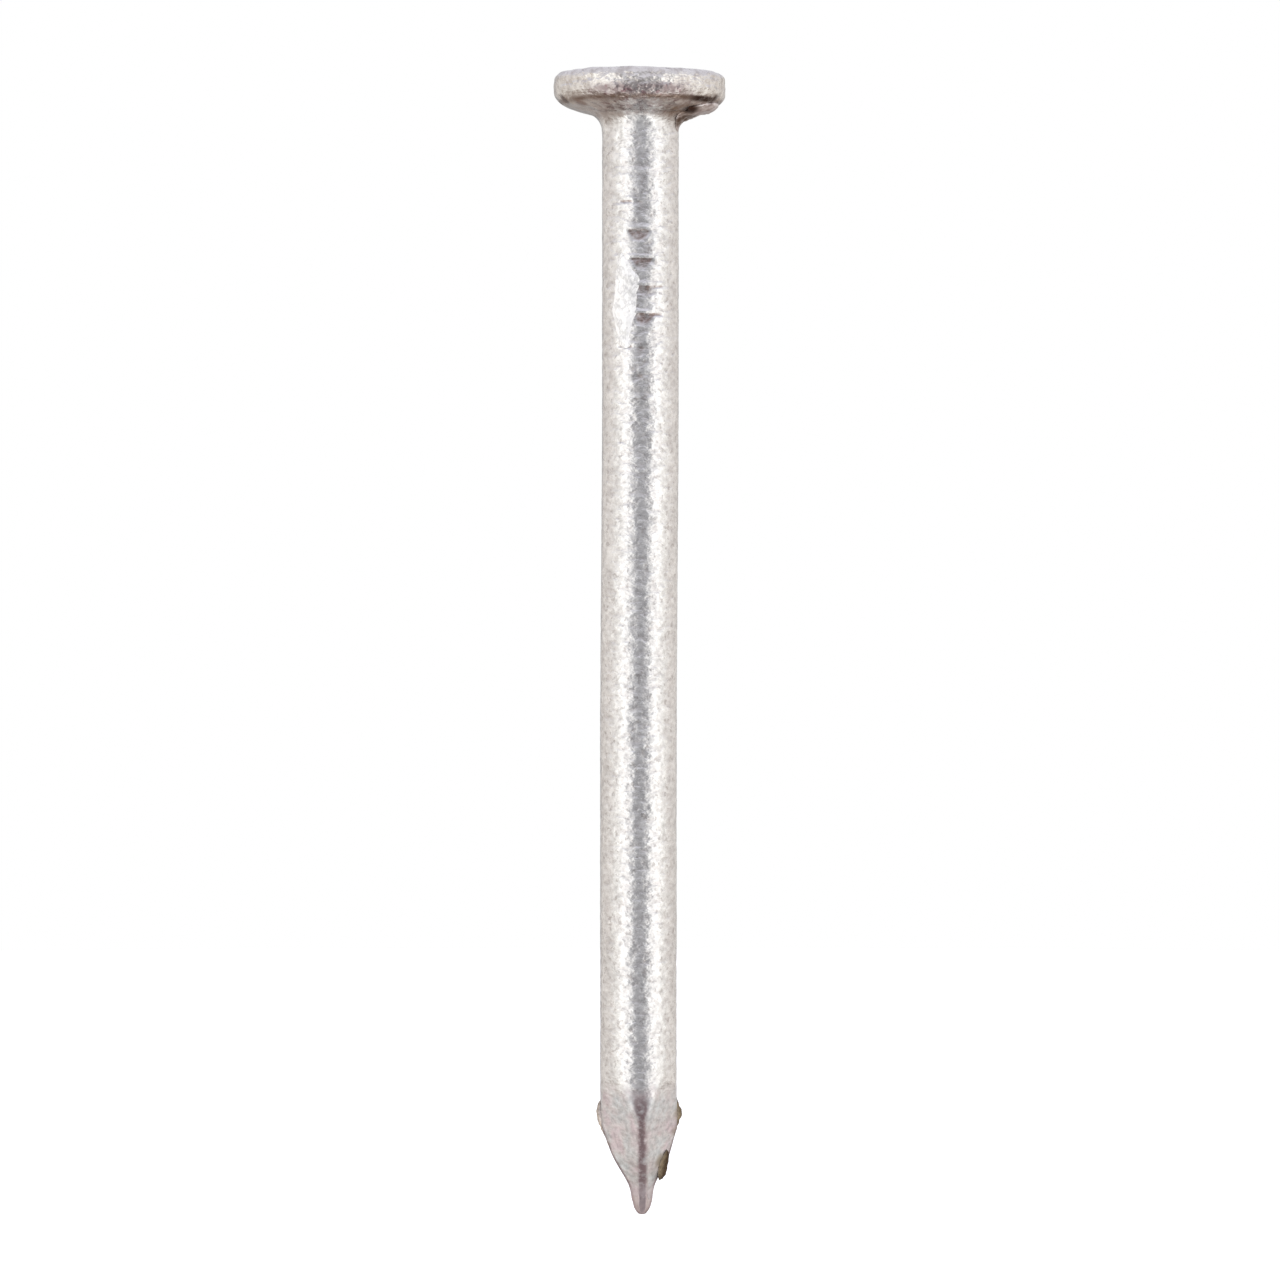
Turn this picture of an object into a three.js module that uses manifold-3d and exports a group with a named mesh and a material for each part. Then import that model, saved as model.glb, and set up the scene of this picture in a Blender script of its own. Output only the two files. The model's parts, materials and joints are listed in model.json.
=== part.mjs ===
// A 50 x 3.35 mm round wire nail, hot-dip galvanised, in millimetres, +Z up.
//
// The nail is one length of drawn steel wire: the head is upset from its end, the gripping dies leave rows of
// teeth marks under it, and the cutting knives pinch the other end to a four-sided point. Knives that are a
// little worn leave thin fins of flash on the two ridges where they meet, and a flake of it curled over. The
// zinc bath covers all of it but the tip, and leaves a run on the grip marks and a bead under the head.
//
// Origin: on the nail's axis, level with the lower edge of the head's rim, where the nominal length starts.
// -Y is the front. The gripping dies and the knives close along Y, so they part on the XZ plane.
import * as THREE from "three";
import { mergeVertices } from "three/addons/utils/BufferGeometryUtils.js";
import Module from "manifold-3d";

// Driving dimensions of the steel.
const WIRE_R = 3.35 / 2;
const LENGTH = 50; // lower edge of the head's rim to the tip
const HEAD_R = 7.65 / 2;
const HEAD_H = 1.35;
const HEAD_TOP_ROUND = 0.26;
const HEAD_LOW_ROUND = 0.55;
const CONE_SLOPE = THREE.MathUtils.degToRad(16); // underside of the head, below the horizontal
const FILLET_R = 0.9; // head into shank

// Grip marks: flats that the dies' straight teeth cut into the front and the back, deep above and rising below.
const GRIP_COUNT = 7;
const GRIP_PITCH = 1.3;
const GRIP_FIRST = -4.43; // height of the uppermost mark
const GRIP_DEPTH = 0.12;
const GRIP_RISE = 0.06;
const GRIP_RUN = 0.5;

// Point: four facets whose ridges lie on the X and Y axes, and a slimmer, blunt end. Each pair is a height above
// the tip and the facet's distance from the axis there. At the last height the facets are clear of the wire.
const FACETS = [
  [0, 0.13], [0.4, 0.29], [1.1, 0.37], [1.5, 0.46], [2.6, 0.88], [3.9, 1.19], [6.3, 1.68], [7.2, 1.9],
];

// Zinc.
const COAT = 0.05;
const COAT_GRIP_DEPTH = 0.08; // the zinc half fills the grip marks
const BARE_TIP = 0.8; // length of the tip that the zinc leaves bare
const RUN_THICK = 0.05;

const AROUND = 32; // sides of everything that is turned
const ARC_STEPS = 3; // an arc is cut into twice this many chords

const wasm = await Module();
wasm.setup();

// A closed geometry as a solid. Where a turned profile meets the axis, its squares come down to triangles.
function solid(geometry) {
  geometry.deleteAttribute("normal");
  geometry.deleteAttribute("uv");
  const merged = mergeVertices(geometry, 1e-5);
  const corners = merged.index.array;
  const triangles = [];
  for (let i = 0; i < corners.length; i += 3) {
    const [a, b, c] = corners.slice(i, i + 3);
    if (a !== b && b !== c && c !== a) triangles.push(a, b, c);
  }
  const mesh = new wasm.Mesh({
    numProp: 3,
    vertProperties: merged.attributes.position.array,
    triVerts: new Uint32Array(triangles),
  });
  return new wasm.Manifold(mesh);
}

// A solid back as a geometry.
function geometryOf(body) {
  const mesh = body.getMesh();
  return new THREE.BufferGeometry()
    .setAttribute("position", new THREE.BufferAttribute(mesh.vertProperties, 3))
    .setIndex(new THREE.BufferAttribute(mesh.triVerts, 1));
}

// A profile of (radius, height) points turned about Z. Four sides put the ridges on the X and Y axes.
function turned(points, sides = AROUND) {
  return solid(new THREE.LatheGeometry(points, sides).rotateX(Math.PI / 2));
}

// The outline of head, fillet and shank, with a skin of this thickness on the steel.
function bodyOutline(skin) {
  const normal = new THREE.Vector2(Math.sin(CONE_SLOPE), -Math.cos(CONE_SLOPE)); // off the underside's cone
  const lowCentre = new THREE.Vector2(HEAD_R - HEAD_LOW_ROUND, HEAD_LOW_ROUND * Math.cos(CONE_SLOPE));
  const filletX = WIRE_R + FILLET_R;
  const alongNormal = lowCentre.dot(normal) + HEAD_LOW_ROUND + FILLET_R;
  const filletZ = (filletX * normal.x - alongNormal) / Math.cos(CONE_SLOPE);
  const outline = new THREE.Path();
  outline.moveTo(0, HEAD_H + skin);
  outline.lineTo(HEAD_R - HEAD_TOP_ROUND, HEAD_H + skin);
  outline.absarc(
    HEAD_R - HEAD_TOP_ROUND, HEAD_H - HEAD_TOP_ROUND, HEAD_TOP_ROUND + skin, Math.PI / 2, 0, true,
  );
  outline.absarc(lowCentre.x, lowCentre.y, HEAD_LOW_ROUND + skin, 0, CONE_SLOPE - Math.PI / 2, true);
  outline.absarc(filletX, filletZ, FILLET_R - skin, Math.PI / 2 + CONE_SLOPE, Math.PI, false);
  outline.lineTo(WIRE_R + skin, -LENGTH);
  outline.lineTo(0, -LENGTH);
  return outline.getPoints(ARC_STEPS).reverse();
}

// The four-sided block that the point's facets lie on. A facet is nearer the axis than its ridges by root 2.
function pointBlock(skin) {
  const pointEnd = FACETS.at(-1)[0];
  const facets = [
    [0, 0],
    ...FACETS.map(([up, facet]) => [up, facet + skin]),
    [pointEnd, HEAD_R * 2],
    [LENGTH + HEAD_H * 2, HEAD_R * 2],
    [LENGTH + HEAD_H * 2, 0],
  ];
  const profile = facets.map(([up, facet]) => new THREE.Vector2(facet * Math.SQRT2, up - LENGTH));
  return turned(profile, 4);
}

// All the grip marks of one skin, as a cutting tool: a prism across each mark, at the front and at the back.
function gripCutter(skin, depth) {
  const surface = WIRE_R + skin;
  const tooth = new THREE.Shape([
    new THREE.Vector2(surface - depth, 0),
    new THREE.Vector2(surface + depth, 2 * GRIP_RISE),
    new THREE.Vector2(surface + depth, -2 * GRIP_RUN),
  ]);
  const prism = new THREE.ExtrudeGeometry(tooth, { depth: 2 * surface, bevelEnabled: false })
    .translate(0, 0, -surface)
    .rotateX(Math.PI / 2);
  let cutter = null;
  for (let i = 0; i < GRIP_COUNT; i++) {
    for (const turn of [-Math.PI / 2, Math.PI / 2]) {
      const mark = solid(prism.clone().rotateZ(turn).translate(0, 0, GRIP_FIRST - i * GRIP_PITCH));
      cutter = cutter ? cutter.add(mark) : mark;
    }
  }
  return cutter;
}

function nailSolid(skin, gripDepth) {
  return turned(bodyOutline(skin)).intersect(pointBlock(skin)).subtract(gripCutter(skin, gripDepth));
}

// A thin plate on the XZ plane. The outline is a list of (x, height above the tip) points on one side.
function finPlate(points, thick) {
  const shape = new THREE.Shape();
  shape.moveTo(points[0][0], points[0][1]);
  shape.splineThru(points.slice(1).map(([x, up]) => new THREE.Vector2(x, up)));
  shape.closePath();
  return new THREE.ExtrudeGeometry(shape, { depth: thick, bevelEnabled: false, curveSegments: 2 })
    .translate(0, 0, -thick / 2)
    .rotateX(Math.PI / 2)
    .translate(0, 0, -LENGTH);
}

// A stretched ball with its middle at (radius, azimuth, z). Azimuth 0 is the front and 90 degrees is +X.
function blob(size, radius, azimuth, z, tilt = 0) {
  const turn = THREE.MathUtils.degToRad(azimuth);
  return solid(
    new THREE.SphereGeometry(1, 16, 10)
      .scale(size[0], size[1], size[2])
      .rotateX(tilt)
      .translate(0, -radius, z)
      .rotateZ(turn),
  );
}

const FIN_THICK = 0.16;
// The fins' outlines, as (x, height above the tip), going up the ridge and back inside the steel.
const LEFT_FIN = [
  [-0.9, 3.7], [-1.5, 3.8], [-1.8, 4.1], [-1.93, 4.45], [-1.93, 4.65], [-1.84, 4.95], [-1.7, 5.3], [-1.3, 5.2],
];
const RIGHT_FIN = [
  [0.9, 3.3], [1.45, 3.4], [1.7, 3.8], [1.85, 4.2], [1.93, 4.5], [1.93, 4.68], [1.84, 4.95], [1.7, 5.35],
  [1.3, 5.1],
];

const steel = nailSolid(0, GRIP_DEPTH);
const dipped = nailSolid(COAT, COAT_GRIP_DEPTH);
const leftPlate = solid(finPlate(LEFT_FIN, FIN_THICK));
const rightPlate = solid(finPlate(RIGHT_FIN, FIN_THICK));
const leftFin = leftPlate.subtract(steel);
const rightFin = rightPlate.subtract(steel);

const tipCutter = solid(new THREE.BoxGeometry(WIRE_R, WIRE_R, 2 * BARE_TIP).translate(0, 0, -LENGTH));
const coat = dipped.subtract(steel.add(leftPlate).add(rightPlate).add(tipCutter));

const CURL = { size: [0.17, 0.28, 0.7], radius: 1.06, azimuth: 81, up: 2.22, tilt: 0.32 };
const curl = blob(CURL.size, CURL.radius, CURL.azimuth, CURL.up - LENGTH, CURL.tilt)
  .subtract(dipped.add(rightPlate));

// The run is a film on the shank: a sleeve cut to an oval, less the nail under it.
const RUN = { size: [0.62, 1, 1.95], azimuth: -25, z: -9.05 };
const runSleeve = turned([
  new THREE.Vector2(0, RUN.z - 2 * RUN.size[2]),
  new THREE.Vector2(WIRE_R + COAT + RUN_THICK, RUN.z - 2 * RUN.size[2]),
  new THREE.Vector2(WIRE_R + COAT + RUN_THICK, RUN.z + 2 * RUN.size[2]),
  new THREE.Vector2(0, RUN.z + 2 * RUN.size[2]),
]);
const run = runSleeve
  .intersect(blob(RUN.size, WIRE_R, RUN.azimuth, RUN.z))
  .subtract(dipped);

const BEAD = { size: [0.8, 0.8, 0.2], radius: 2.72, azimuth: 74, z: -0.3, tilt: CONE_SLOPE };
const bead = blob(BEAD.size, BEAD.radius, BEAD.azimuth, BEAD.z, -BEAD.tilt).subtract(dipped);

const zinc = new THREE.MeshStandardMaterial({ color: 0xc2c2c4, metalness: 0.9, roughness: 0.38 });
const bareSteel = new THREE.MeshStandardMaterial({ color: 0x7d7775, metalness: 0.9, roughness: 0.5 });
const brightZinc = new THREE.MeshStandardMaterial({ color: 0xdadad9, metalness: 0.9, roughness: 0.3 });
const dirtySteel = new THREE.MeshStandardMaterial({ color: 0x5c5040, metalness: 0.7, roughness: 0.7 });

const nail = new THREE.Group();

function piece(name, body, material) {
  const mesh = new THREE.Mesh(geometryOf(body), material);
  mesh.name = name;
  nail.add(mesh);
}

piece("steel_body", steel, bareSteel);
piece("zinc_coating", coat, zinc);
piece("left_flash_fin", leftFin, dirtySteel);
piece("right_flash_fin", rightFin, dirtySteel);
piece("flash_curl", curl, dirtySteel);
piece("zinc_run", run, brightZinc);
piece("zinc_bead", bead, brightZinc);

export default nail;
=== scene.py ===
"""A hot-dip galvanised round wire nail, 50 x 3.35 mm, upright with its head up, a little above a white floor.

Everything is in metres in the CAD's frame: +Z runs along the shank towards the head, and -Y is the front.
"""
import json
import math

import bmesh
import bpy
from mathutils import Euler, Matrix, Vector, noise


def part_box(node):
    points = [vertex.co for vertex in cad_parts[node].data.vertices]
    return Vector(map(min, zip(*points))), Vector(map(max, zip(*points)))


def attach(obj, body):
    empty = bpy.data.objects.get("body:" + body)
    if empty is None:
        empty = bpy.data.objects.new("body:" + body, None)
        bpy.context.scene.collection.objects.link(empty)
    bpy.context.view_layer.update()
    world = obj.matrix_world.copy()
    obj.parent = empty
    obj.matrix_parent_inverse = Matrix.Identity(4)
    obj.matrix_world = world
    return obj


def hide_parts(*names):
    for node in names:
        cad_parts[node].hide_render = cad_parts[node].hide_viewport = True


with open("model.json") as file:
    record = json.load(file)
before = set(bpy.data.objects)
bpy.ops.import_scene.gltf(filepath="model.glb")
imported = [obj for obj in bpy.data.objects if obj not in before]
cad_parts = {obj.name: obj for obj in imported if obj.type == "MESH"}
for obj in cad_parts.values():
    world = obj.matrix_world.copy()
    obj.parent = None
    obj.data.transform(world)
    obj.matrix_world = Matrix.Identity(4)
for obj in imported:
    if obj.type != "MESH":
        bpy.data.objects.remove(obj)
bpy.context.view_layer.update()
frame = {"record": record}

MM = 0.001

# ---------------------------------------------------------------- sizes, from the frame

steel_low, steel_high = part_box("steel_body")
coat_low, coat_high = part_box("zinc_coating")
MOUNTS = {mount["name"]: mount for mount in frame["record"]["mounts"]}

COAT = coat_high.z - steel_high.z
WIRE_R = MOUNTS["shank_in_timber"]["dims"]["r_mm"] * MM - COAT
HEAD_R = steel_high.x
TOP = steel_high.z
TIP = steel_low.z
BARE_TIP = coat_low.z - steel_low.z

# ---------------------------------------------------------------- sizes that the CAD shares

HEAD_TOP_ROUND = 0.26 * MM
HEAD_LOW_ROUND = 0.55 * MM
CONE_SLOPE = math.radians(16)
FILLET_R = 0.9 * MM
FILLET_X = WIRE_R + FILLET_R  # the middle of the fillet's arc
LOW_ROUND_Z = HEAD_LOW_ROUND * math.cos(CONE_SLOPE)  # the middle of the rim's lower rounding
FILLET_Z = ((FILLET_X - HEAD_R + HEAD_LOW_ROUND) * math.tan(CONE_SLOPE) + LOW_ROUND_Z
            - (HEAD_LOW_ROUND + FILLET_R) / math.cos(CONE_SLOPE))
GRIP_FIRST = -4.43 * MM
GRIP_PITCH = 1.3 * MM

# ---------------------------------------------------------------- finer sizes than the CAD's

# Each grip mark, from the top: depth, how far it sits to the right, how much it leans and how far it is
# raised, in millimetres.
GRIP_MARKS = [(0.03, 0.0, 0.0, -0.02), (0.1, -0.07, 0.02, -0.02), (0.09, 0.07, 0.0, 0.02),
              (0.065, 0.22, -0.02, 0.06), (0.1, 0.12, 0.0, 0.11), (0.035, 0.02, 0.03, -0.03),
              (0.04, 0.0, 0.0, 0.03)]
GRIP_RISE = 0.05 * MM  # a mark reaches its depth over this height, and runs out below over the next
GRIP_RUN = 0.6 * MM
GRIP_LIP = 0.03 * MM  # metal pushed up along a mark's upper edge, on a mark of USUAL_DEPTH
GRIP_LIP_TOP = 0.3 * MM
GRIP_WIDTH = 0.75 * MM
GRIP_SOFTNESS = 0.012 * MM
GRIP_RAGGED = 0.03 * MM
USUAL_DEPTH = 0.1
# Fine scores that run further round than the marks: which mark, start and end azimuth in degrees.
SCORES = [(0, -36, -9), (5, -39, -9), (3, 14, 40), (4, 16, 38)]
SCORE_DEPTH = 0.052 * MM
SCORE_WIDTH = 0.065 * MM
SCORE_END = 7  # degrees over which a score fades in and out

# The point, as (height above the tip, facet to axis), in millimetres.
FACETS = [(0, 0.12), (0.16, 0.21), (0.4, 0.3), (0.65, 0.34), (1.1, 0.37), (1.5, 0.46), (2.6, 0.88),
          (3.9, 1.19), (5.2, 1.5), (6.3, 1.68), (7.6, 1.95)]
POINT_H = 7.6 * MM
KNUCKLE = 0.2 * MM  # the bends between the facets' straight stretches are rounded off over this height
POINT_TURN = math.radians(4)  # the knives met a little askew
RIDGE_SHARPNESS = 30
ARCH_SHARPNESS = 90
RIDGE_LAND = 0.17 * MM  # the front and back ridges are cut off flat, this far below their sharp corner

# How finely the turned surface is divided. The rows are on the head's top, the grip marks, the shank and the
# point.
SIDES = 128
OUTER_ROWS = (0.14 * MM, 0.065 * MM, 0.14 * MM, 0.07 * MM)
OUTER_ARC_STEPS = 7
INNER_ROWS = (1.2 * MM, 0.14 * MM, 1.2 * MM, 0.3 * MM)
INNER_ARC_STEPS = 4
TIP_ROW = 0.3 * MM
WELD = 0.0005 * MM
INNER_SKIN = -0.03 * MM  # the zinc's inner wall lies a little inside the steel


def between(low, high, x):
    """0 below low, 1 above high, and a smooth rise between them."""
    t = min(max((x - low) / (high - low), 0), 1)
    return t * t * (3 - 2 * t)


# ---------------------------------------------------------------- the turned blank

def arc(cx, cz, radius, start, end, steps):
    """Points on an arc, from the angle start to the angle end, in degrees."""
    turns = [math.radians(start + (end - start) * i / steps) for i in range(steps + 1)]
    return [(cx + radius * math.cos(a), cz + radius * math.sin(a)) for a in turns]


def line(start, end, row):
    """Points from start up to, but not at, end, no further apart than row."""
    run = math.dist(start, end)
    steps = max(1, math.ceil(run / row))
    return [tuple(a + (b - a) * i / steps for a, b in zip(start, end)) for i in range(steps)]


def outline(skin, rows, arc_steps):
    """(radius, height) from the top of the head to the point, for steel under this much skin.

    rows are the row heights on the head's top, on the grip marks, on the shank and on the point.
    """
    top_row, grip_row, shank_row, point_row = rows
    slope = math.degrees(CONE_SLOPE)
    rim = arc(HEAD_R - HEAD_TOP_ROUND, TOP - HEAD_TOP_ROUND, HEAD_TOP_ROUND + skin, 90, 0, arc_steps)
    lower = arc(HEAD_R - HEAD_LOW_ROUND, LOW_ROUND_Z, HEAD_LOW_ROUND + skin, 0, slope - 90, arc_steps)
    fillet = arc(FILLET_X, FILLET_Z, FILLET_R - skin, 90 + slope, 180, arc_steps)
    shank = WIRE_R + skin
    grip_end = (shank, GRIP_FIRST - (len(GRIP_MARKS) + 0.5) * GRIP_PITCH)
    point_start = (shank, TIP + POINT_H)
    head_row = grip_row * 1.5
    points = line((0, TOP + skin), rim[0], top_row)
    points += rim[:-1] + line(rim[-1], lower[0], head_row)
    points += lower[:-1] + line(lower[-1], fillet[0], head_row) + fillet[:-1]
    points += line(fillet[-1], grip_end, grip_row)
    points += line(grip_end, point_start, shank_row)
    return points + line(point_start, (shank, TIP), point_row)


def shell(outer_skin, inner_skin, low_end):
    """A turned bmesh: outside with one skin and inside with another, joined at the height of its low end.

    With no inner skin it is solid, and closed across the tip.
    """
    outer_profile = outline(outer_skin, OUTER_ROWS, OUTER_ARC_STEPS)
    outside = [(r, z, outer_skin) for r, z in outer_profile if z > low_end]
    outside.append((WIRE_R + outer_skin, low_end, outer_skin))
    if inner_skin is None:
        across_tip = line((WIRE_R + outer_skin, TIP), (0, TIP), TIP_ROW)
        inside = [(r, z, outer_skin) for r, z in across_tip[1:]]
        inside.append((0, TIP, outer_skin))
    else:
        inner_profile = outline(inner_skin, INNER_ROWS, INNER_ARC_STEPS)
        inside = [(r, z, inner_skin) for r, z in inner_profile if z > low_end]
        inside = [(WIRE_R + inner_skin, low_end, inner_skin)] + inside[::-1]
    bm = bmesh.new()
    skin_layer = bm.verts.layers.float.new("skin")
    verts = []
    for r, z, skin in outside + inside:
        vert = bm.verts.new((r, 0, z))
        vert[skin_layer] = skin
        verts.append(vert)
    edges = [bm.edges.new(pair) for pair in zip(verts, verts[1:])]
    bmesh.ops.spin(bm, geom=verts + edges, cent=(0, 0, 0), axis=(0, 0, 1), angle=math.tau, steps=SIDES,
                   use_merge=True)
    bmesh.ops.remove_doubles(bm, verts=bm.verts, dist=WELD)
    bmesh.ops.recalc_face_normals(bm, faces=bm.faces)
    return bm, skin_layer


# ---------------------------------------------------------------- what the tools do to the blank

def facet_profile(height):
    """How far a facet of the point is from the axis at this height above the tip, on straight stretches."""
    for (low, near), (high, far) in zip(FACETS, FACETS[1:]):
        if height <= high * MM:
            return (near + (far - near) * (height / MM - low) / (high - low)) * MM
    return FACETS[-1][1] * MM


def facet_distance(height):
    """The same, with the knuckles between the stretches rounded off."""
    reach = min(KNUCKLE, height / 2)
    return (facet_profile(height - reach) + facet_profile(height) + facet_profile(height + reach)) / 3


def soft_min(values, sharpness):
    """The smallest of these values, rounded off where two of them meet."""
    least = min(values)
    return least * sum((value / least) ** -sharpness for value in values) ** (-1 / sharpness)


def off_facet(co):
    """The angle round the axis from the middle of the nearest facet of the point."""
    return ((math.atan2(co.y, co.x) - POINT_TURN) % (math.pi / 2)) - math.pi / 4


def pinched(co, skin, facet_skin):
    """The four facets of the point, whose ridges lie near the X and Y axes."""
    height = co.z - TIP
    radius = math.hypot(co.x, co.y)
    if height > POINT_H or radius < 1e-9:
        return co
    full = WIRE_R + skin
    facet = facet_distance(height) + facet_skin
    turns = [off_facet(co) + turn for turn in (-math.pi / 2, 0, math.pi / 2)]
    side_on = 0.05  # the cosine below which a facet is too far round to matter
    limits = [facet / math.cos(turn) for turn in turns if math.cos(turn) > side_on]
    ridge = facet * math.sqrt(2)
    towards_land = abs(math.sin(math.atan2(co.y, co.x) - POINT_TURN))
    if towards_land > 0.3:
        limits.append((ridge - min(RIDGE_LAND, ridge * 0.4)) / towards_land)
    block = soft_min(limits, RIDGE_SHARPNESS)
    reach = soft_min([full, block], ARCH_SHARPNESS)
    return Vector((co.x * reach / full, co.y * reach / full, co.z))


def ridge_nearness(co):
    """1 on a ridge of the point, falling to 0 beside it and where the point begins."""
    height = co.z - TIP
    aside = (math.pi / 4 - abs(off_facet(co))) * math.hypot(co.x, co.y)
    width = 0.16 * MM
    if abs(co.y) > abs(co.x):  # the front and back ridges are wider, and widen upwards
        width = (0.3 + 0.25 * between(4 * MM, 5.5 * MM, height)) * MM
    return (1 - between(width * 0.35, width, aside)) * (1 - between(4.8 * MM, 6.2 * MM, height))


def gripped(co, skin):
    """The flats that the gripping dies' teeth cut into the front and the back."""
    full = WIRE_R + skin
    if not GRIP_FIRST - 9 * GRIP_PITCH < co.z < GRIP_FIRST + GRIP_PITCH:
        return co
    side = math.copysign(1, co.y)
    y = abs(co.y)
    azimuth = math.degrees(math.atan2(co.x, y))
    radius = math.hypot(co.x, y)
    for i, (depth, across, lean, raised) in enumerate(GRIP_MARKS):
        ragged = GRIP_RAGGED * noise.noise(Vector((co.x / (0.3 * MM), i * 7.3, side)))
        below = GRIP_FIRST - i * GRIP_PITCH + raised * MM + lean * co.x + ragged - co.z
        if below < -GRIP_LIP_TOP or below > GRIP_RUN:
            continue
        x = co.x + across * MM * side
        if below < 0:
            cut = depth * MM * between(-GRIP_RISE, 0, below)
            lip = between(-0.26 * MM, -0.07 * MM, below) * (1 - between(-0.07 * MM, -0.02 * MM, below))
        else:
            cut = depth * MM * (1 - below / GRIP_RUN)
            lip = 0
        level = full - cut * (1 + 0.35 * noise.noise(Vector((co.x / (0.35 * MM), i * 3.1, 4))))
        flat = math.sqrt(max(full * full - x * x, 0))
        if cut > 0.002 * MM:
            y -= soft_positive(flat - level, GRIP_SOFTNESS)
        wide = math.exp(-(x / GRIP_WIDTH) ** 2)
        y += GRIP_LIP * lip * wide * depth / USUAL_DEPTH
    for i, start, end in SCORES:
        below = GRIP_FIRST - i * GRIP_PITCH + GRIP_MARKS[i][3] * MM - co.z
        inside = min(-azimuth * side - start, end + azimuth * side)
        if inside > 0:
            score = SCORE_DEPTH * between(0, SCORE_END, inside) * math.exp(-(below / SCORE_WIDTH) ** 2)
            y -= score * y / radius
            co = Vector((co.x * (1 - score / radius), co.y, co.z))
    return Vector((co.x, side * y, co.z))


def soft_positive(value, softness):
    """value where it is above 0, and 0 where it is below, with a rounded corner."""
    return (value + math.sqrt(value * value + softness * softness)) / 2 - softness / 2


HEAD_SHIFT = -0.03 * MM
HEAD_TILT = math.radians(0.5)
RIM_MIDDLE = 0.75 * MM
RIM_HALF = 0.6 * MM
RIM_BULGE = 0.05 * MM
UNDERSIDE_SAG = 0.04 * MM
BOW_LEFT = 0.09 * MM
BOW_BACK = 0.17 * MM


def barrelled(co):
    """The rim of the head is widest half way up, and the underside is a little full."""
    radius = math.hypot(co.x, co.y)
    full = between(1.9 * MM, 2.5 * MM, radius) * (1 - between(3.3 * MM, 3.7 * MM, radius))
    co = Vector((co.x, co.y, co.z - UNDERSIDE_SAG * full * (1 - between(0.1 * MM, 0.3 * MM, co.z))))
    off_middle = (co.z - RIM_MIDDLE) / RIM_HALF
    inward = RIM_BULGE * min(off_middle ** 2, 1) * between(2.8 * MM, 3.5 * MM, radius)
    if not inward:
        return co
    return Vector((co.x * (1 - inward / radius), co.y * (1 - inward / radius), co.z))


def leaned(co):
    """The head is upset a little off centre, and lower on the right."""
    weight = between(-1.6 * MM, -0.5 * MM, co.z)
    return Vector((co.x + HEAD_SHIFT * weight, co.y, co.z - math.tan(HEAD_TILT) * co.x * weight))


def bowed(co):
    """The shank bows to the left by under 0.1 mm, and its point comes back to the right."""
    left = BOW_LEFT * between(12 * MM, 30 * MM, -co.z)
    right = BOW_BACK * between(44 * MM, 50 * MM, -co.z)
    return Vector((co.x - left + right, co.y, co.z))


GRAIN_STRETCH = (0.85, 0.85, 1.45)  # how much finer the zinc's grain is along X, Y and Z than its size says


def lumps(co, size, seed):
    """A smooth random height between about -1 and 1, with lumps of this size."""
    return noise.noise(co / size + Vector((seed, seed * 1.7, seed * 0.6))) * 2


def zinc_relief(co):
    """How far the frozen zinc stands proud of its mean surface."""
    on_head = between(-1.0 * MM, 0, co.z)
    on_point = 1 - between(TIP + 4.5 * MM, TIP + 6.5 * MM, co.z)
    grain = Vector((co.x * GRAIN_STRETCH[0], co.y * GRAIN_STRETCH[1], co.z * GRAIN_STRETCH[2]))
    coarse = lumps(co, 1.3 * MM, 3) * (0.002 + 0.012 * on_head)
    middle = lumps(grain, 0.42 * MM, 11) * (0.006 + 0.01 * on_head)
    fine = lumps(grain, 0.22 * MM, 23) * 0.0035
    off_tip = between(TIP + BARE_TIP, TIP + 2 * BARE_TIP, co.z)
    return (coarse + middle + fine) * (1 - 0.6 * on_point) * off_tip * MM


def formed(co, skin):
    """A point of the turned blank after every tool has worked on it, and how deep the teeth cut there."""
    bare = 1 - between(TIP + BARE_TIP, TIP + 3 * BARE_TIP, co.z)
    blank = pinched(co, skin, skin * (1 - 0.95 * bare))
    marked = gripped(blank, skin)
    cut = math.hypot(blank.x, blank.y) - math.hypot(marked.x, marked.y)
    return bowed(leaned(barrelled(marked))), max(cut, 0)


def finished(name, bm, material, replaces):
    """The bmesh as a smooth-shaded piece that stands for a CAD node."""
    mesh = bpy.data.meshes.new(name)
    bm.to_mesh(mesh)
    bm.free()
    mesh.shade_smooth()
    mesh.materials.append(material)
    piece = bpy.data.objects.new(name, mesh)
    bpy.context.scene.collection.objects.link(piece)
    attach(piece, "root")
    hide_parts(replaces)
    return piece


def feathered(co):
    """The zinc ends in a wavy line at the bare tip."""
    near = 1 - between(TIP + BARE_TIP, TIP + 2 * BARE_TIP, co.z)
    wave = noise.noise(Vector((co.x, co.y, 0)).normalized() * 1.6) * 0.25 * MM
    return Vector((co.x, co.y, co.z + wave * near))


def zinc_skin(material):
    """The zinc.

    Its vertices carry how deep a tooth cut them, in millimetres, and how near a ridge they are.
    """
    bm, skin_layer = shell(COAT, INNER_SKIN, TIP + BARE_TIP)
    cut_layer = bm.verts.layers.float.new("cut_depth")
    ridge_layer = bm.verts.layers.float.new("ridge")
    for vert in bm.verts:
        blank = feathered(vert.co)
        vert[ridge_layer] = ridge_nearness(pinched(blank, vert[skin_layer], 0))
        vert.co, cut = formed(blank, vert[skin_layer])
        vert[cut_layer] = cut / MM
    bm.normal_update()
    moves = [(vert, vert.normal * zinc_relief(vert.co)) for vert in bm.verts if vert[skin_layer] > 0]
    for vert, move in moves:
        vert.co += move
    return finished("galvanised_skin", bm, material, "zinc_coating")


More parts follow.
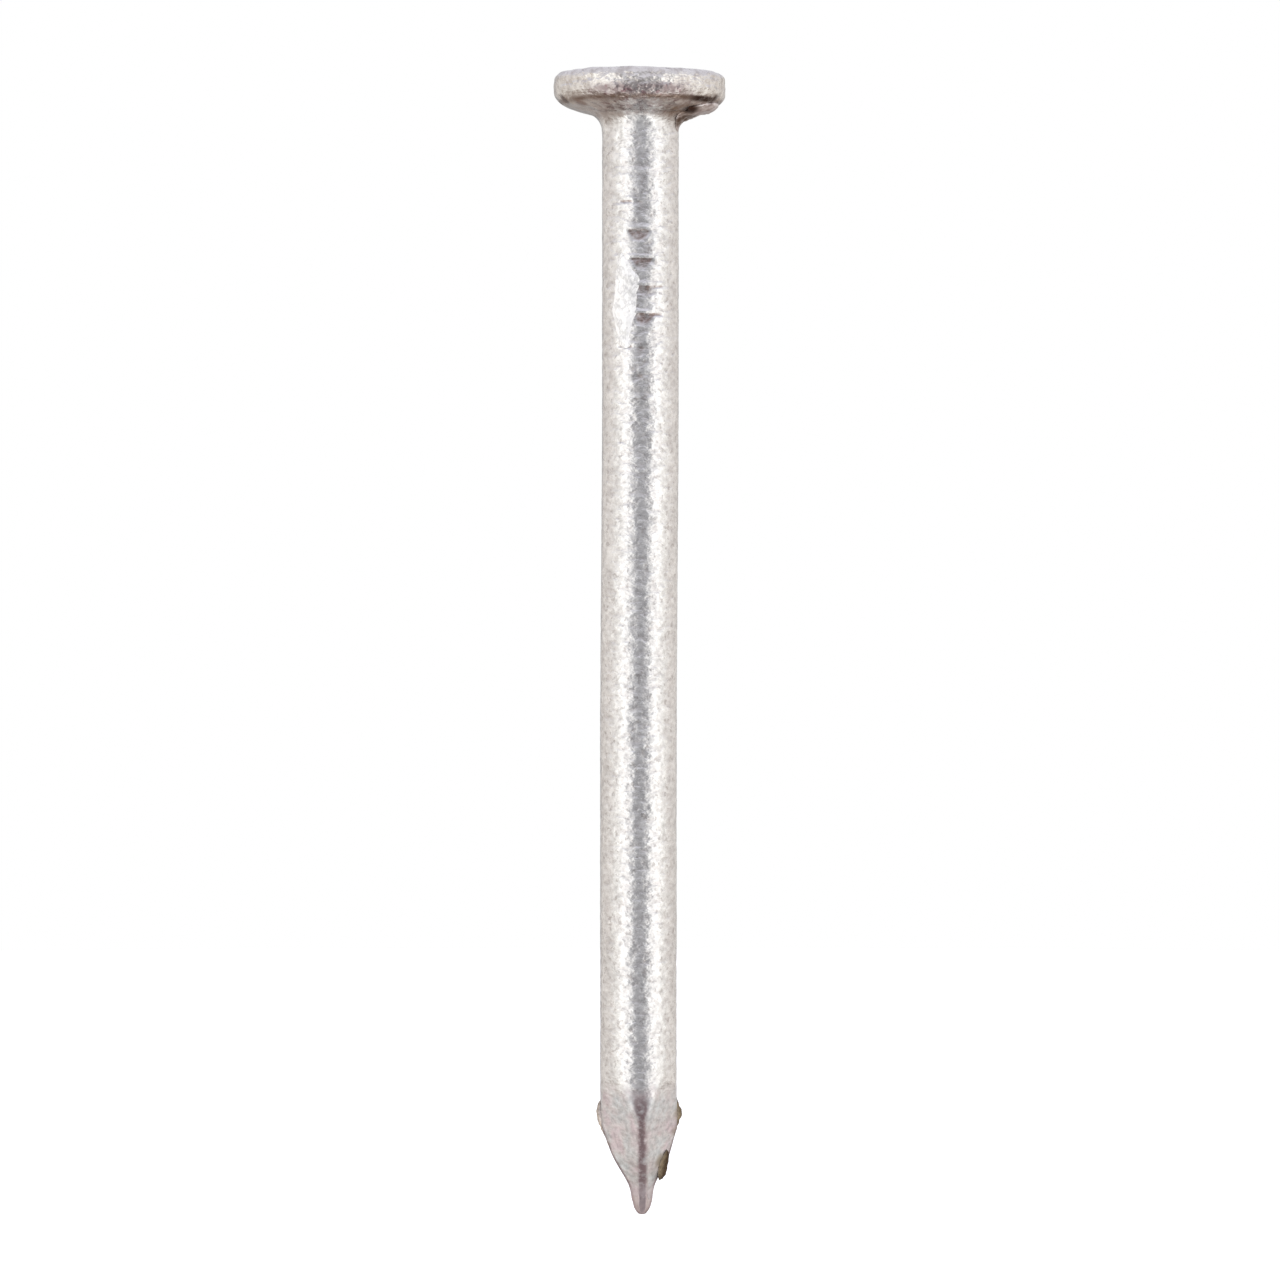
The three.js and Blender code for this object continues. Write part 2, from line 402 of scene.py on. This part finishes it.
def steel_wire(material):
    """The steel under the zinc, with a bare, slightly battered tip."""
    bm, _ = shell(0.0, None, TIP)
    ridge_layer = bm.verts.layers.float.new("ridge")
    for vert in bm.verts:
        vert[ridge_layer] = ridge_nearness(pinched(vert.co, 0, 0))
        vert.co, _ = formed(vert.co, 0.0)
    bm.normal_update()
    for vert in bm.verts:
        near_tip = 1 - between(TIP + 0.6 * MM, TIP + 1.1 * MM, vert.co.z)
        vert.co += vert.normal * lumps(vert.co, 0.25 * MM, 5) * 0.012 * MM * near_tip
    return finished("steel_wire", bm, material, "steel_body")


# ---------------------------------------------------------------- flash and drips

def along(stops, t):
    """A smooth curve through (t, value, ...) stops: the values at t."""
    for before, after in zip(stops, stops[1:]):
        if t <= after[0]:
            share = between(before[0], after[0], t)
            return [a + (b - a) * share for a, b in zip(before[1:], after[1:])]
    return list(stops[-1][1:])


def pebble(rings, sides):
    """A closed ball, as a bmesh, its "edge" layer and a place for each vertex.

    A place is how high (from -1 to 1), how far across and how far outwards the vertex is, for its level.
    """
    bm = bmesh.new()
    edge_layer = bm.verts.layers.float.new("edge")
    bmesh.ops.create_uvsphere(bm, u_segments=sides, v_segments=rings, radius=1)
    places = {}
    for vert in bm.verts:
        level = math.sqrt(max(1 - vert.co.z ** 2, 1e-6))
        up = 2 * math.asin(max(-1, min(1, vert.co.z))) / math.pi
        places[vert] = (up, vert.co.x / level, vert.co.y / level)
    return bm, edge_layer, places


def tapered(up, bluntness):
    """How thick a pebble is at this height, from 1 in the middle to 0 at its ends."""
    return math.sqrt(max(1 - up ** bluntness, 0))


# The fins' free edges, from the foot up: (height above the tip, distance from the axis), in millimetres.
LEFT_FIN = [(2.6, 1.2), (3.3, 1.51), (3.9, 1.75), (4.1, 1.84), (4.3, 1.9), (4.65, 1.93), (4.9, 1.87),
            (5.25, 1.7)]
RIGHT_FIN = [(2.6, 1.2), (3.3, 1.46), (3.9, 1.7), (4.15, 1.8), (4.45, 1.94), (4.7, 1.94), (4.9, 1.83),
             (5.4, 1.7)]
FIN_ROOT_THICK = 0.16
FIN_THINNING = 0.12  # how much thinner the free edge is than the root


def turned_with_point(co):
    """A place on the XZ plane, taken round to where the ridges of the point really lie."""
    return Vector((co.x * math.cos(POINT_TURN) - co.y * math.sin(POINT_TURN),
                   co.x * math.sin(POINT_TURN) + co.y * math.cos(POINT_TURN), co.z))


def flash_fin(name, side, edge, browning, darkest_edge, material):
    """A thin ragged fin on the ridge at +X or -X, thick at its root and thin at its free edge.

    It turns browner and darker from this many millimetres inside the free edge, and is this dark there.
    """
    bm, edge_layer, places = pebble(60, 20)
    foot, top = edge[0][0], edge[-1][0]
    for vert, (up, thick, out) in places.items():
        height = foot + (top - foot) * (up + 1) / 2
        reach = along(edge, height)[0]
        root = min(facet_distance(height * MM) / MM * 1.25 - 0.1, reach - 0.05)
        share = (out + 1) / 2
        ragged = 0.03 * noise.noise(Vector((height * 5, side * 3, 0)))
        ragged += 0.02 * noise.noise(Vector((height * 14, side, 2)))
        x = root + (reach + ragged - root) * share
        half_thick = (FIN_ROOT_THICK - FIN_THINNING * share) * tapered(up, 4)
        y = thick * half_thick + 0.04 * share * math.sin(height * 4 + side)
        vert[edge_layer] = darkest_edge * between(reach - browning, reach, x)
        vert.co = bowed(turned_with_point(Vector((side * x * MM, y * MM, TIP + height * MM))))
    bmesh.ops.recalc_face_normals(bm, faces=bm.faces)
    return finished("ragged_" + name, bm, material, name)


# The curled flake, from its foot up: (height above the tip, left edge, right edge), in millimetres.
CURL_EDGES = [(1.5, 0.78, 0.82), (1.62, 0.74, 0.98), (1.8, 0.72, 1.1), (2.1, 0.77, 1.19), (2.4, 0.87, 1.27),
              (2.7, 1.03, 1.3), (2.85, 1.12, 1.27), (2.92, 1.17, 1.21)]


def flash_curl(material):
    """A flake of flash curled over, low on the right-hand ridge and just in front of it."""
    bm, edge_layer, places = pebble(48, 32)
    bottom, top = CURL_EDGES[0][0], CURL_EDGES[-1][0]
    for vert, (up, across, out) in places.items():
        height = bottom + (top - bottom) * (up + 1) / 2
        left, right = along(CURL_EDGES, height)
        pinch = tapered(up, 8)
        bumps = 1 + 0.16 * noise.noise(Vector((across * 1.4, out * 1.4, height * 2.5)))
        x = (left + right) / 2 + across * (right - left) / 2 * pinch * bumps
        facet = facet_distance(height * MM) / MM
        thick = 0.13 + 0.05 * across
        y = -max(facet * math.sqrt(2) - x, 0) - 0.02 - out * thick * pinch * bumps
        # The flake runs to dark brown, darkest to its right: rust with painted shade.
        vert[edge_layer] = 0.86 + 0.32 * across + 0.04 * up
        vert.co = bowed(Vector((x * MM, y * MM, TIP + height * MM)))
    bmesh.ops.recalc_face_normals(bm, faces=bm.faces)
    return finished("curled_flake", bm, material, "flash_curl")


# The run's outline, from its top down: (share of its length, left edge, right edge). The edges are in
# millimetres round the shank from the front.
RUN_EDGES = [(0, -1.0, -0.74), (0.15, -1.14, -0.42), (0.27, -1.22, -0.04), (0.45, -1.28, -0.16),
             (0.6, -1.42, -0.18), (0.75, -1.24, -0.36), (0.88, -1.08, -0.5), (1, -1.08, -0.3)]
RUN_TOP = -6.75 * MM
RUN_LENGTH = 4.3 * MM


def zinc_run(material):
    """A lumpy film of zinc that ran down over the grip marks before it froze."""
    bm, _, places = pebble(100, 64)
    full = WIRE_R + COAT
    for vert, (up, across, out) in places.items():
        left, right = along(RUN_EDGES, (1 - up) / 2)
        ragged = 0.07 * noise.noise(Vector((up * 9, math.copysign(1, across), 0)))
        pinch = tapered(up, 8)
        round_front = ((left + right) / 2 + across * ((right - left) / 2 * pinch + ragged * pinch)) * MM
        z = RUN_TOP - RUN_LENGTH * (1 - up) / 2
        body = 0.065 + 0.03 * noise.noise(Vector((across * 1.5, up * 5, 7)))
        body += 0.02 * noise.noise(Vector((across * 4, up * 13, 2)))
        lift = out ** 1.5 * body * pinch * MM if out > 0 else out * 0.06 * MM
        turn = round_front / full
        radius = full + lift
        vert.co = bowed(Vector((radius * math.sin(turn), -radius * math.cos(turn), z)))
    bmesh.ops.recalc_face_normals(bm, faces=bm.faces)
    return finished("frozen_run", bm, material, "zinc_run")


def underside(radius):
    """The height of the zinc under the head, at this distance from the axis, all in millimetres."""
    bend = FILLET_R / MM - COAT / MM
    off = FILLET_X / MM - radius
    if off > bend * math.sin(CONE_SLOPE):
        return FILLET_Z / MM + math.sqrt(max(bend ** 2 - off ** 2, 0))
    return FILLET_Z / MM + bend / math.cos(CONE_SLOPE) - off * math.tan(CONE_SLOPE)


BEAD_INNER = 1.66  # from the axis, in millimetres
BEAD_OUTER = 3.58
BEAD_AZIMUTH = math.radians(80)


def zinc_bead(material):
    """A web of zinc that set between the rim and the neck, on the right of the head's underside."""
    bm, _, places = pebble(64, 56)
    for vert, (up, across, out) in places.items():
        share = (up + 1) / 2
        radius = BEAD_INNER + (BEAD_OUTER - BEAD_INNER) * share
        pinch = tapered(up, 4)
        ragged = 0.1 * noise.noise(Vector((share * 4, math.copysign(1, across), 5)))
        azimuth = BEAD_AZIMUTH + across * (0.42 + 0.08 * share + ragged) * pinch
        uneven = 1 + 0.3 * noise.noise(Vector((radius * 2, azimuth * 3, 1)))
        sag = (0.22 - 0.2 * (share - 0.5) ** 2) * uneven * pinch
        sag += 0.05 * noise.noise(Vector((radius * 5, azimuth * 12, 3))) * pinch
        z = underside(radius) - (out ** 0.6 * sag if out > 0 else out * 0.08)
        place = Vector((radius * math.sin(azimuth) * MM, -radius * math.cos(azimuth) * MM, z * MM))
        vert.co = leaned(place)
    bmesh.ops.recalc_face_normals(bm, faces=bm.faces)
    return finished("frozen_bead", bm, material, "zinc_bead")


# ---------------------------------------------------------------- materials

class Nodes:
    """A few short calls for building a node tree."""

    def __init__(self, tree):
        self.tree = tree
        tree.nodes.clear()

    def add(self, kind, **values):
        """A node of this kind, with its properties and its inputs set by name."""
        made = self.tree.nodes.new("ShaderNode" + kind)
        for key, value in values.items():
            if key in made.bl_rna.properties:
                setattr(made, key, value)
            else:
                self.feed(made.inputs[key], value)
        return made

    def feed(self, socket, value):
        """Another node's output, a number or a colour into a socket."""
        if hasattr(value, "is_output"):
            self.tree.links.new(value, socket)
        elif socket.type == "RGBA" and len(value) == 3:
            socket.default_value = (*value, 1)
        else:
            socket.default_value = value

    def ramp(self, source, *stops):
        """A ColorRamp over (position, colour) stops."""
        made = self.add("ValToRGB", Fac=source)
        elements = made.color_ramp.elements
        while len(elements) < len(stops):
            elements.new(0.5)
        for element, (position, colour) in zip(elements, stops):
            if isinstance(colour, (int, float)):
                colour = (colour, colour, colour)
            element.position = position
            element.color = (*colour, 1)
        return made.outputs["Color"]

    def maths(self, operation, *inputs):
        """The result of a Math node on these inputs, in order."""
        made = self.add("Math", operation=operation)
        for socket, value in zip(made.inputs, inputs):
            self.feed(socket, value)
        return made.outputs["Value"]

    def times(self, a, b):
        return self.maths("MULTIPLY", a, b)

    def fade(self, source, low, high):
        """0 where source is below low, 1 above high."""
        made = self.add("MapRange", interpolation_type="SMOOTHSTEP")
        self.feed(made.inputs["Value"], source)
        self.feed(made.inputs["From Min"], low)
        self.feed(made.inputs["From Max"], high)
        return made.outputs["Result"]

    def below(self, source, low, high):
        """1 where source is below low, 0 above high."""
        return self.maths("SUBTRACT", 1, self.fade(source, low, high))

    def around(self, centre, radius):
        """1 at a place on the nail, falling to 0 at a radius from it."""
        away = self.add("VectorMath", operation="DISTANCE")
        self.feed(away.inputs[0], self.place)
        self.feed(away.inputs[1], centre)
        return self.below(away.outputs["Value"], radius * 0.35, radius)

    def mix(self, amount, a, b, blend="MIX"):
        """Colour a with colour b laid over it."""
        made = self.add("Mix", data_type="RGBA", blend_type=blend)
        colour_sockets = [socket for socket in made.inputs if socket.type == "RGBA"]
        self.feed(made.inputs[0], amount)
        self.feed(colour_sockets[0], a)
        self.feed(colour_sockets[1], b)
        return [socket for socket in made.outputs if socket.type == "RGBA"][0]

    def noise(self, size, detail=2, roughness=0.5, stretch=None):
        """Noise from 0 to 1 in lumps of this size."""
        place = self.place
        if stretch:
            place = self.add("Mapping", Vector=place, Scale=stretch).outputs["Vector"]
        made = self.add("TexNoise", Vector=place, Scale=1 / size, Detail=detail, Roughness=roughness)
        return made.outputs["Fac"]

    def attribute(self, name):
        """What the vertices of the piece carry under this name."""
        return self.add("Attribute", attribute_name=name).outputs["Fac"]

    def shade(self, name, value):
        """An input of the material's shader."""
        self.feed(self.shader.inputs[name], value)

    def bumpy(self, height, distance):
        """The shader's relief: bumps this far from their lowest to their highest."""
        bump = self.add("Bump", Height=height, Strength=1.0, Distance=distance)
        self.shade("Normal", bump.outputs["Normal"])


def new_material(name):
    """A metal material and its nodes, which read where they are on the nail."""
    material = bpy.data.materials.new(name)
    material.use_nodes = True
    nodes = Nodes(material.node_tree)
    nodes.place = nodes.add("TexCoord").outputs["Object"]
    nodes.shader = nodes.add("BsdfPrincipled", Metallic=1.0)
    nodes.add("OutputMaterial", Surface=nodes.shader.outputs["BSDF"])
    return material, nodes


# Painted shade for the crevices round the bead.
DEEP_CREVICE_SHADE = (0.05, 0.025, 0.018)


def at(x, y, z):
    """A place given in millimetres."""
    return (x * MM, y * MM, z * MM)


def neck_stains_and_shade(nodes, colour):
    """Brown flux marks round the bead, with painted shade in the crevices round it.

    There is a soft brown patch, brown marks with painted shade along the bead's lower edge, a pocket of
    painted shade beside the neck, a far end dark with painted shade and a slit of painted shade under the
    rim.
    """
    z = nodes.add("SeparateXYZ", Vector=nodes.place).outputs["Z"]
    blotches = nodes.ramp(nodes.noise(0.25 * MM, 2), (0.35, 0.4), (0.6, 1.0))
    patch = nodes.times(nodes.around(at(1.85, -1.8, -0.3), 1.0 * MM), blotches)
    colour = nodes.mix(patch, colour, (0.24, 0.16, 0.11))
    # Along the bead's lower edge: brown flux marks with painted shade under the bead.
    low_edge = nodes.around(at(2.0, -0.6, -0.62), 0.85 * MM)
    low_edge = nodes.times(low_edge, nodes.maths("ADD", blotches, 0.15))
    colour = nodes.mix(low_edge, colour, (0.12, 0.075, 0.05))
    # Painted shade in the pocket beside the neck.
    pocket = nodes.around(at(2.2, -1.65, -0.25), 0.6 * MM)
    colour = nodes.mix(pocket, colour, DEEP_CREVICE_SHADE)
    # Painted shade at the bead's far end, where it meets the rim.
    far_end = nodes.around(at(3.4, -1.6, 0.02), 0.42 * MM)
    colour = nodes.mix(far_end, colour, (0.07, 0.04, 0.03))
    # Painted shade in the slit under the rim.
    turn_under = nodes.times(nodes.fade(z, -0.1 * MM, 0.02 * MM), nodes.below(z, 0.12 * MM, 0.24 * MM))
    slit = nodes.times(turn_under, nodes.around(at(2.95, -2.4, 0.08), 1.15 * MM))
    return nodes.mix(slit, colour, DEEP_CREVICE_SHADE)


def zinc_grain(nodes):
    """The frozen zinc's mottled grey: grains, slow patches, fine grain and dark specks."""
    mottle = nodes.noise(0.36 * MM, 3, 0.6, GRAIN_STRETCH)
    colour = nodes.ramp(mottle, (0.32, (0.56, 0.54, 0.535)), (0.5, (0.66, 0.65, 0.645)),
                        (0.68, (0.74, 0.735, 0.73)))
    patches = nodes.ramp(nodes.noise(1.1 * MM, 2), (0.35, 0.95), (0.65, 1.04))
    colour = nodes.mix(1.0, colour, patches, "MULTIPLY")
    grain = nodes.ramp(nodes.noise(0.2 * MM, 2, 0.5), (0.3, 0.85), (0.47, 0.98), (0.7, 1.06))
    colour = nodes.mix(1.0, colour, grain, "MULTIPLY")
    specks = nodes.ramp(nodes.noise(0.26 * MM, 2, 0.6), (0.6, 0.0), (0.68, 0.55))
    return nodes.mix(specks, colour, (0.33, 0.3, 0.29))


def head_tones(nodes, colour, head, x, z):
    """The head is warmer. Its rim is purple low down, with a dark line of painted shade where it turns under,
    and its underside has brown flux marks darkened with painted shade.
    """
    warm = nodes.ramp(nodes.noise(0.32 * MM, 3, 0.6), (0.38, (0.42, 0.37, 0.33)), (0.55, (0.69, 0.66, 0.62)))
    colour = nodes.mix(nodes.times(head, 0.55), colour, warm)
    low_rim = nodes.times(nodes.below(z, 0.45 * MM, 0.85 * MM), nodes.fade(z, -0.1 * MM, 0.1 * MM))
    low_rim = nodes.times(low_rim, nodes.below(nodes.maths("ABSOLUTE", x), 1.5 * MM, 2.9 * MM))
    blotches = nodes.ramp(nodes.noise(0.3 * MM, 2), (0.35, 0.5), (0.56, 1.0))
    colour = nodes.mix(nodes.times(low_rim, blotches), colour, (0.27, 0.22, 0.22))
    # The underside under the head is darkened: flux marks and painted shade.
    under = nodes.times(nodes.fade(z, -0.68 * MM, -0.36 * MM), nodes.below(z, 0.0, 0.35 * MM))
    under = nodes.times(under, nodes.fade(x, -2.6 * MM, -1.2 * MM))
    stain_and_shade = nodes.times(under, nodes.ramp(nodes.noise(0.26 * MM, 3), (0.38, 0.0), (0.58, 0.9)))
    colour = nodes.mix(stain_and_shade, colour, (0.42, 0.36, 0.35))
    spots = nodes.ramp(nodes.noise(0.24 * MM, 1), (0.58, 0.0), (0.66, 0.75))
    spots = nodes.times(nodes.maths("MAXIMUM", low_rim, under), spots)
    colour = nodes.mix(spots, colour, (0.2, 0.12, 0.13))
    # A dark line of painted shade where the rim turns under.
    rim_turn_shade = nodes.times(nodes.fade(z, -0.06 * MM, 0.08 * MM), nodes.below(z, 0.1 * MM, 0.24 * MM))
    rim_turn_shade = nodes.times(rim_turn_shade, nodes.ramp(nodes.noise(0.5 * MM, 3), (0.35, 0.45), (0.6, 0.95)))
    colour = nodes.mix(rim_turn_shade, colour, (0.24, 0.18, 0.15))
    low_spot = nodes.around(at(-3.45, -1.35, 0.08), 0.4 * MM)
    colour = nodes.mix(low_spot, colour, (0.12, 0.07, 0.05))
    left_spot = nodes.around(at(-2.65, -1.95, -0.05), 0.45 * MM)
    return nodes.mix(nodes.times(left_spot, 0.8), colour, (0.26, 0.17, 0.14))


def grip_dirt_and_shade(nodes, colour):
    """Dirt and painted shade sit in the marks that the teeth cut."""
    # Dirt, with painted shade in the recess, wherever a tooth cut.
    grime_and_shade = nodes.fade(nodes.attribute("cut_depth"), 0.005, 0.04)
    grime_and_shade = nodes.times(grime_and_shade, nodes.ramp(nodes.noise(0.24 * MM, 2), (0.36, 0.4), (0.6, 1.0)))
    return nodes.mix(grime_and_shade, colour, (0.28, 0.22, 0.2))


def point_tones(nodes, colour, point, z):
    """The point is a little purple, and its ridges are painted dark: a painted dark reflection."""
    tone = nodes.ramp(nodes.noise(0.9 * MM, 3, 0.55), (0.36, (0.62, 0.53, 0.55)), (0.5, (0.61, 0.58, 0.58)),
                      (0.64, (0.62, 0.64, 0.65)))
    grain = nodes.ramp(nodes.noise(0.22 * MM, 3, 0.6), (0.34, 0.77), (0.62, 1.1))
    tone = nodes.mix(1.0, tone, grain, "MULTIPLY")
    colour = nodes.mix(nodes.times(point, 0.8), colour, tone)
    broken_ridge_shade = nodes.ramp(nodes.noise(0.35 * MM, 3, 0.6), (0.36, 0.45), (0.56, 1.0))
    # Painted dark reflection along the ridges, patchy.
    colour = nodes.mix(nodes.times(nodes.attribute("ridge"), broken_ridge_shade), colour, (0.23, 0.17, 0.175))
    near_tip = nodes.below(z, TIP + 0.9 * MM, TIP + 1.7 * MM)
    return nodes.mix(nodes.times(near_tip, 0.6), colour, (0.5, 0.43, 0.44))


# Where the zinc beside the flash is browner, as (place, reach), in millimetres from the origin.
BROWN_BESIDE_FLASH = [((1.95, -0.15, -45.45), 0.6), ((1.72, -0.2, -46.3), 0.42), ((1.0, -0.35, -47.6), 0.5)]


def galvanised_zinc():
    material, nodes = new_material("galvanised_zinc")
    split = nodes.add("SeparateXYZ", Vector=nodes.place)
    x, z = split.outputs["X"], split.outputs["Z"]
    head = nodes.fade(z, -0.4 * MM, 0.3 * MM)
    wavy = nodes.maths("MULTIPLY_ADD", nodes.noise(0.7 * MM, 2), 1.6 * MM, z)
    point = nodes.below(wavy, TIP + 5.9 * MM, TIP + 7.0 * MM)
    colour = head_tones(nodes, zinc_grain(nodes), head, x, z)
    colour = grip_dirt_and_shade(nodes, neck_stains_and_shade(nodes, colour))
    colour = point_tones(nodes, colour, point, z)
    for place, reach in BROWN_BESIDE_FLASH:
        browning = nodes.around(at(*place), reach * MM)
        colour = nodes.mix(nodes.times(browning, 0.75), colour, (0.3, 0.24, 0.17))
    nodes.shade("Base Color", colour)
    roughness = nodes.ramp(nodes.noise(0.3 * MM, 3), (0.3, 0.22), (0.7, 0.4))
    nodes.shade("Roughness", nodes.maths("MULTIPLY_ADD", point, 0.27, roughness))
    # The head is rougher than the shank, and the point smoother.
    relief = nodes.maths("MULTIPLY_ADD", head, 0.9, nodes.maths("MULTIPLY_ADD", point, -0.35, 1))
    nodes.bumpy(nodes.times(nodes.noise(0.36 * MM, 2, 0.5, GRAIN_STRETCH), relief), 0.062 * MM)
    return material


def bare_steel():
    material, nodes = new_material("bare_steel")
    colour = nodes.ramp(nodes.noise(0.3 * MM, 4, 0.6), (0.3, (0.43, 0.37, 0.37)), (0.7, (0.56, 0.5, 0.5)))
    # The ridges near the tip are painted darker: painted dark reflection.
    colour = nodes.mix(nodes.times(nodes.attribute("ridge"), 0.5), colour, (0.3, 0.22, 0.23))
    nodes.shade("Base Color", colour)
    nodes.shade("Roughness", nodes.ramp(nodes.noise(0.2 * MM, 3), (0.3, 0.35), (0.7, 0.55)))
    nodes.bumpy(nodes.noise(0.12 * MM, 3, 0.6, stretch=(1, 1, 0.3)), 0.012 * MM)
    return material


def dirty_flash():
    """Steel that gets browner and darker with its piece's "edge" layer."""
    material, nodes = new_material("dirty_flash")
    colour = nodes.ramp(nodes.attribute("edge"), (0, (0.58, 0.52, 0.5)), (0.35, (0.42, 0.36, 0.3)),
                        (0.7, (0.22, 0.17, 0.11)), (1, (0.07, 0.045, 0.025)))
    smears = nodes.ramp(nodes.noise(0.22 * MM, 4, 0.65), (0.3, 0.6), (0.7, 1.3))
    nodes.shade("Base Color", nodes.mix(1.0, colour, smears, "MULTIPLY"))
    nodes.shade("Metallic", 0.8)
    nodes.shade("Roughness", nodes.ramp(nodes.noise(0.15 * MM, 3), (0.3, 0.45), (0.7, 0.7)))
    nodes.bumpy(nodes.noise(0.12 * MM, 3, 0.6), 0.015 * MM)
    return material


def bright_zinc():
    material, nodes = new_material("bright_zinc")
    colour = nodes.ramp(nodes.noise(0.4 * MM, 3, 0.6), (0.35, (0.8, 0.79, 0.76)), (0.6, (0.93, 0.92, 0.89)))
    # Darker lines painted on the run: painted crease shade.
    crease_shade = nodes.noise(0.5 * MM, 3, 0.6, stretch=(1, 1, 0.6))
    crease_shade = nodes.ramp(crease_shade, (0.45, 1.0), (0.5, 0.72), (0.55, 1.0))
    nodes.shade("Base Color", nodes.mix(1.0, colour, crease_shade, "MULTIPLY"))
    nodes.shade("Metallic", 0.4)
    nodes.shade("Roughness", nodes.ramp(nodes.noise(0.3 * MM, 3), (0.3, 0.35), (0.7, 0.55)))
    nodes.bumpy(nodes.noise(0.25 * MM, 3, 0.5), 0.05 * MM)
    return material


def stained_shaded_zinc():
    material, nodes = new_material("stained_shaded_zinc")
    colour = nodes.ramp(nodes.noise(0.3 * MM, 3, 0.6), (0.35, (0.44, 0.37, 0.37)), (0.6, (0.72, 0.68, 0.68)))
    # The bead gets the neck's flux marks and its painted crevice shade.
    nodes.shade("Base Color", neck_stains_and_shade(nodes, colour))
    nodes.shade("Roughness", nodes.ramp(nodes.noise(0.2 * MM, 3), (0.3, 0.3), (0.7, 0.5)))
    nodes.bumpy(nodes.noise(0.2 * MM, 3, 0.6), 0.03 * MM)
    return material


zinc_skin(galvanised_zinc())
steel_wire(bare_steel())
flash = dirty_flash()
flash_fin("left_flash_fin", -1, LEFT_FIN, browning=0.2, darkest_edge=0.38, material=flash)
flash_fin("right_flash_fin", 1, RIGHT_FIN, browning=0.6, darkest_edge=0.75, material=flash)
flash_curl(flash)
zinc_run(bright_zinc())
zinc_bead(stained_shaded_zinc())

# ---------------------------------------------------------------- floor, light and camera

FLOOR_DROP = 20 * MM  # the floor is this far under the point
FLOOR_R = 600 * MM
WHITE = (1, 1, 1, 1)


def floor():
    bm = bmesh.new()
    bmesh.ops.create_circle(bm, cap_ends=True, radius=FLOOR_R, segments=96)
    mesh = bpy.data.meshes.new("floor")
    bm.to_mesh(mesh)
    bm.free()
    plane = bpy.data.objects.new("floor", mesh)
    plane.location.z = TIP - FLOOR_DROP
    bpy.context.scene.collection.objects.link(plane)
    material = bpy.data.materials.new("floor_white")
    material.use_nodes = True
    nodes = Nodes(material.node_tree)
    shader = nodes.add("BsdfPrincipled", Roughness=1.0)
    shader.inputs["Base Color"].default_value = (0.8, 0.8, 0.8, 1)
    shader.inputs["Specular IOR Level"].default_value = 0.0
    shader.inputs["Emission Color"].default_value = WHITE
    shader.inputs["Emission Strength"].default_value = 0.55
    nodes.add("OutputMaterial", Surface=shader.outputs["BSDF"])
    mesh.materials.append(material)
    plane.visible_glossy = False


# The light of the studio round the nail, by how far a direction turns from the back (0) to the front (1).
STUDIO_RING = [(0.0, (0.42, 0.42, 0.43)), (0.015, (0.45, 0.45, 0.46)), (0.045, (0.82, 0.78, 0.75)),
               (0.13, (0.96, 0.91, 0.86)), (0.4, (1.1, 1.04, 0.99)),
               (0.51, (1.18, 1.13, 1.08)), (0.62, (1.32, 1.3, 1.24)), (0.72, (1.52, 1.49, 1.44)),
               (0.8, (1.92, 1.9, 1.86)), (0.885, (1.92, 1.9, 1.87)), (0.95, (1.0, 1.0, 1.0)),
               (0.98, (0.58, 0.58, 0.6)), (1.0, (0.44, 0.44, 0.46))]
STUDIO_BELOW = (0.55, 0.47, 0.42)
STUDIO_ABOVE = (0.96, 0.96, 1.06)
RING_PEAK = 2.0
CARD_TURN = math.radians(4)  # the dark end of the ring is this far round to the right of the front


def studio_light():
    world = bpy.data.worlds.new("studio")
    world.use_nodes = True
    bpy.context.scene.world = world
    nodes = Nodes(world.node_tree)
    way = nodes.add("SeparateXYZ", Vector=nodes.add("TexCoord").outputs["Generated"]).outputs
    level = nodes.maths("ADD", nodes.maths("POWER", way["X"], 2), nodes.maths("POWER", way["Y"], 2))
    level = nodes.maths("SQRT", level)
    forwards = nodes.maths("ADD", nodes.times(way["X"], math.sin(CARD_TURN)),
                           nodes.times(way["Y"], -math.cos(CARD_TURN)))
    forwards = nodes.maths("DIVIDE", forwards, nodes.maths("MAXIMUM", level, 0.001))
    stops = [(position, tuple(c / RING_PEAK for c in colour)) for position, colour in STUDIO_RING]
    ring = nodes.ramp(nodes.maths("MULTIPLY_ADD", forwards, 0.5, 0.5), *stops)
    below = nodes.times(nodes.below(way["Z"], -0.6, -0.1), nodes.below(forwards, -0.3, 0.3))
    above = nodes.fade(way["Z"], 0.13, 0.5)
    light = nodes.mix(below, ring, tuple(c / RING_PEAK for c in STUDIO_BELOW))
    light = nodes.mix(above, light, tuple(c / RING_PEAK for c in STUDIO_ABOVE))
    studio = nodes.add("Background", Color=light, Strength=RING_PEAK)
    backdrop = nodes.add("Background", Color=WHITE, Strength=1.0)
    seen = nodes.add("LightPath").outputs["Is Camera Ray"]
    both = nodes.add("MixShader", Fac=seen)
    nodes.feed(both.inputs[1], studio.outputs["Background"])
    nodes.feed(both.inputs[2], backdrop.outputs["Background"])
    nodes.add("OutputWorld", Surface=both.outputs["Shader"])


CAMERA_AWAY = 261.6 * MM
FRAME_HEIGHT = 57.72 * MM  # what the picture takes in, at the nail
CAMERA_UP = 25.88 * MM  # above the tip
CAMERA_ASIDE = -0.018 * MM


def camera():
    data = bpy.data.cameras.new("camera")
    data.sensor_width = 36
    data.lens = data.sensor_width * CAMERA_AWAY / FRAME_HEIGHT
    data.clip_start = 0.01
    data.clip_end = 10
    made = bpy.data.objects.new("camera", data)
    made.location = (CAMERA_ASIDE, -CAMERA_AWAY, TIP + CAMERA_UP)
    made.rotation_euler = Euler((math.pi / 2, 0, 0))
    bpy.context.scene.collection.objects.link(made)
    bpy.context.scene.camera = made


floor()
studio_light()
camera()
bpy.context.scene.view_settings.view_transform = "Standard"
